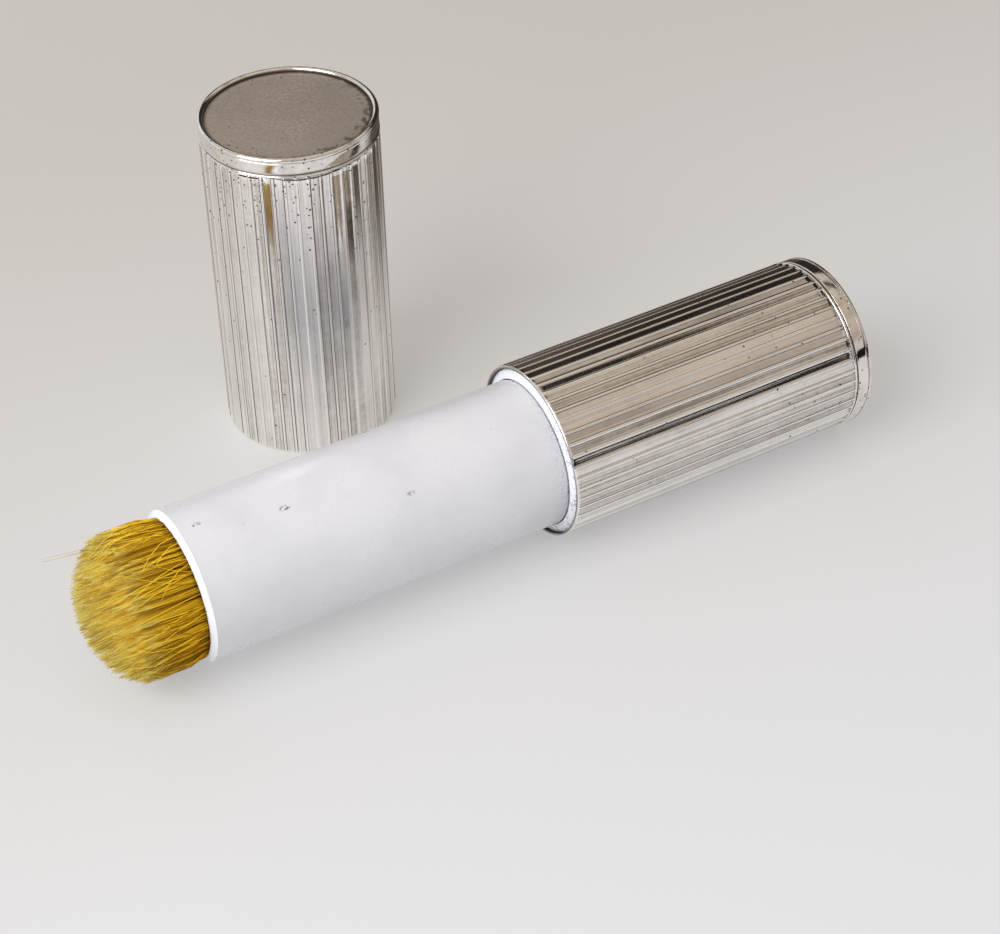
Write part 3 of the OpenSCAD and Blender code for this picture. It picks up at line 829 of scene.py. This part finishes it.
room = {
    "floorSize": 3.0, "floorNear": (0.42, 0.425, 0.435, 1), "floorFar": (0.32, 0.305, 0.29, 1),
    "glowNear": (0.345, 0.352, 0.365, 1), "glowFar": (0.28, 0.27, 0.257, 1),
    "strength": 1.0, "backdrop": (0.62, 0.60, 0.57, 1),
    # the silver mirrors a dark room past these places on the floor
    "dimSide": (0.02, 0.065), "dimBehind": (-0.005, 0.03), "dimTo": (0.045, 0.036, 0.03, 1),
    "windowPlace": (-0.62, -0.20, 0.52), "windowAim": (-0.02, 0, 0.01), "windowSize": 0.6,
    "windowPower": 6.5, "windowTint": (0.93, 0.96, 1.0),
    "ceiling": (0.66, 0.58, 0.49), "wall": (0.64, 0.57, 0.49), "corner": (0.42, 0.37, 0.32),
    "shade": (0.03, 0.025, 0.022), "black": (0.010, 0.009, 0.009)}


def makeFloor():
    size = room["floorSize"]
    mesh = bpy.data.meshes.new("floor")
    corners = [(-size, -size, 0), (size, -size, 0), (size, size, 0), (-size, size, 0)]
    mesh.from_pydata(corners, [], [(0, 1, 2, 3)])
    floor = bpy.data.objects.new("floor", mesh)
    scene.collection.objects.link(floor)
    material = bpy.data.materials.new("paleFloor")
    material.use_nodes = True
    tree = material.node_tree
    principled = tree.nodes["Principled BSDF"]
    principled.inputs["Specular IOR Level"].default_value = 0.2
    principled.inputs["Roughness"].default_value = 0.55
    place = tree.nodes.new("ShaderNodeTexCoord").outputs["Object"]
    split = tree.nodes.new("ShaderNodeSeparateXYZ")
    tree.links.new(place, split.inputs[0])
    far = rangeOf(tree, split.outputs["Y"], -0.12, 0.12)
    side = rangeOf(tree, split.outputs["X"], *room["dimSide"])
    behind = rangeOf(tree, split.outputs["Y"], *room["dimBehind"])
    mirrored = tree.nodes.new("ShaderNodeLightPath").outputs["Is Glossy Ray"]
    dim = mathNode(tree, "MULTIPLY", mirrored, mathNode(tree, "MULTIPLY", side, behind))
    # painted light: the floor is paler towards the camera and glows a little to lift the shadows
    paint = mixColor(tree, far, room["floorNear"], room["floorFar"])
    glow = mixColor(tree, far, room["glowNear"], room["glowFar"])
    tree.links.new(mixColor(tree, dim, paint, room["dimTo"]), principled.inputs["Base Color"])
    tree.links.new(mixColor(tree, dim, glow, room["dimTo"]), principled.inputs["Emission Color"])
    principled.inputs["Emission Strength"].default_value = 1.0
    mesh.materials.append(material)


def makeRoomLight():
    world = bpy.data.worlds.new("softRoom")
    scene.world = world
    world.use_nodes = True
    tree = world.node_tree
    tree.nodes.clear()
    direction = tree.nodes.new("ShaderNodeTexCoord").outputs["Generated"]
    split = tree.nodes.new("ShaderNodeSeparateXYZ")
    tree.links.new(direction, split.inputs[0])
    rise = split.outputs["Z"]
    ceiling, wall, corner = room["ceiling"], room["wall"], room["corner"]
    shade, black = room["shade"], room["black"]
    behind = rampOf(tree, rise, [
        (0.0, shade), (0.44, shade), (0.58, black), (0.62, corner), (0.66, wall), (0.775, wall),
        (0.785, black), (0.825, black), (0.835, ceiling), (1.0, ceiling)])
    left = rampOf(tree, rise, [
        (0.0, (0.15, 0.115, 0.095)), (0.44, (0.11, 0.085, 0.065)), (0.50, (0.06, 0.045, 0.035)),
        (0.54, corner), (0.60, wall), (1.0, ceiling)])
    beside = rampOf(tree, rise, [
        (0.0, (0.80, 0.84, 0.90)), (0.45, (0.80, 0.82, 0.86)), (0.65, (0.66, 0.60, 0.53)), (1.0, ceiling)])
    ahead = rampOf(tree, rise, [
        (0.0, black), (0.165, black), (0.18, (0.58, 0.55, 0.52)), (0.38, (0.64, 0.59, 0.54)),
        (0.42, (0.44, 0.37, 0.31)), (0.60, (0.52, 0.445, 0.375)), (1.0, ceiling)])
    turn = mathNode(tree, "ARCTAN2", split.outputs["X"], split.outputs["Y"])
    back = mixColor(tree, rangeOf(tree, turn, 0.36, 0.52), left, behind)
    back = mixColor(tree, rangeOf(tree, turn, 0.12, 0.24), beside, back)
    view = mixColor(tree, rangeOf(tree, split.outputs["Y"], -0.12, 0.12), ahead, back)
    glow = addNode(tree, "ShaderNodeBackground", Strength=room["strength"])
    tree.links.new(view, glow.inputs["Color"])
    plain = addNode(tree, "ShaderNodeBackground", Color=room["backdrop"], Strength=1.0)
    seen = tree.nodes.new("ShaderNodeLightPath").outputs["Is Camera Ray"]
    pick = tree.nodes.new("ShaderNodeMixShader")
    tree.links.new(seen, pick.inputs[0])
    tree.links.new(glow.outputs[0], pick.inputs[1])
    tree.links.new(plain.outputs[0], pick.inputs[2])
    output = tree.nodes.new("ShaderNodeOutputWorld")
    tree.links.new(pick.outputs[0], output.inputs["Surface"])


def makeWindow():
    light = bpy.data.lights.new("window", "AREA")
    light.energy = room["windowPower"]
    light.size = room["windowSize"]
    light.color = room["windowTint"]
    lamp = bpy.data.objects.new("window", light)
    lamp.location = room["windowPlace"]
    aim = Vector(room["windowAim"]) - lamp.location
    lamp.rotation_euler = aim.to_track_quat("-Z", "Y").to_euler()
    scene.collection.objects.link(lamp)


view = {"place": (-0.1269, -0.2513, 0.2270), "turn": (50.96, 1.17, -30.54), "lens": 90.0, "sensor": 36.0}


def makeCamera():
    data = bpy.data.cameras.new("camera")
    data.lens = view["lens"]
    data.sensor_width = view["sensor"]
    data.clip_start = 0.01
    camera = bpy.data.objects.new("camera", data)
    camera.location = view["place"]
    camera.rotation_euler = [math.radians(a) for a in view["turn"]]
    scene.collection.objects.link(camera)
    scene.camera = camera


makeFloor()
makeRoomLight()
makeWindow()
makeCamera()
scene.view_settings.view_transform = "Standard"
print("room built")
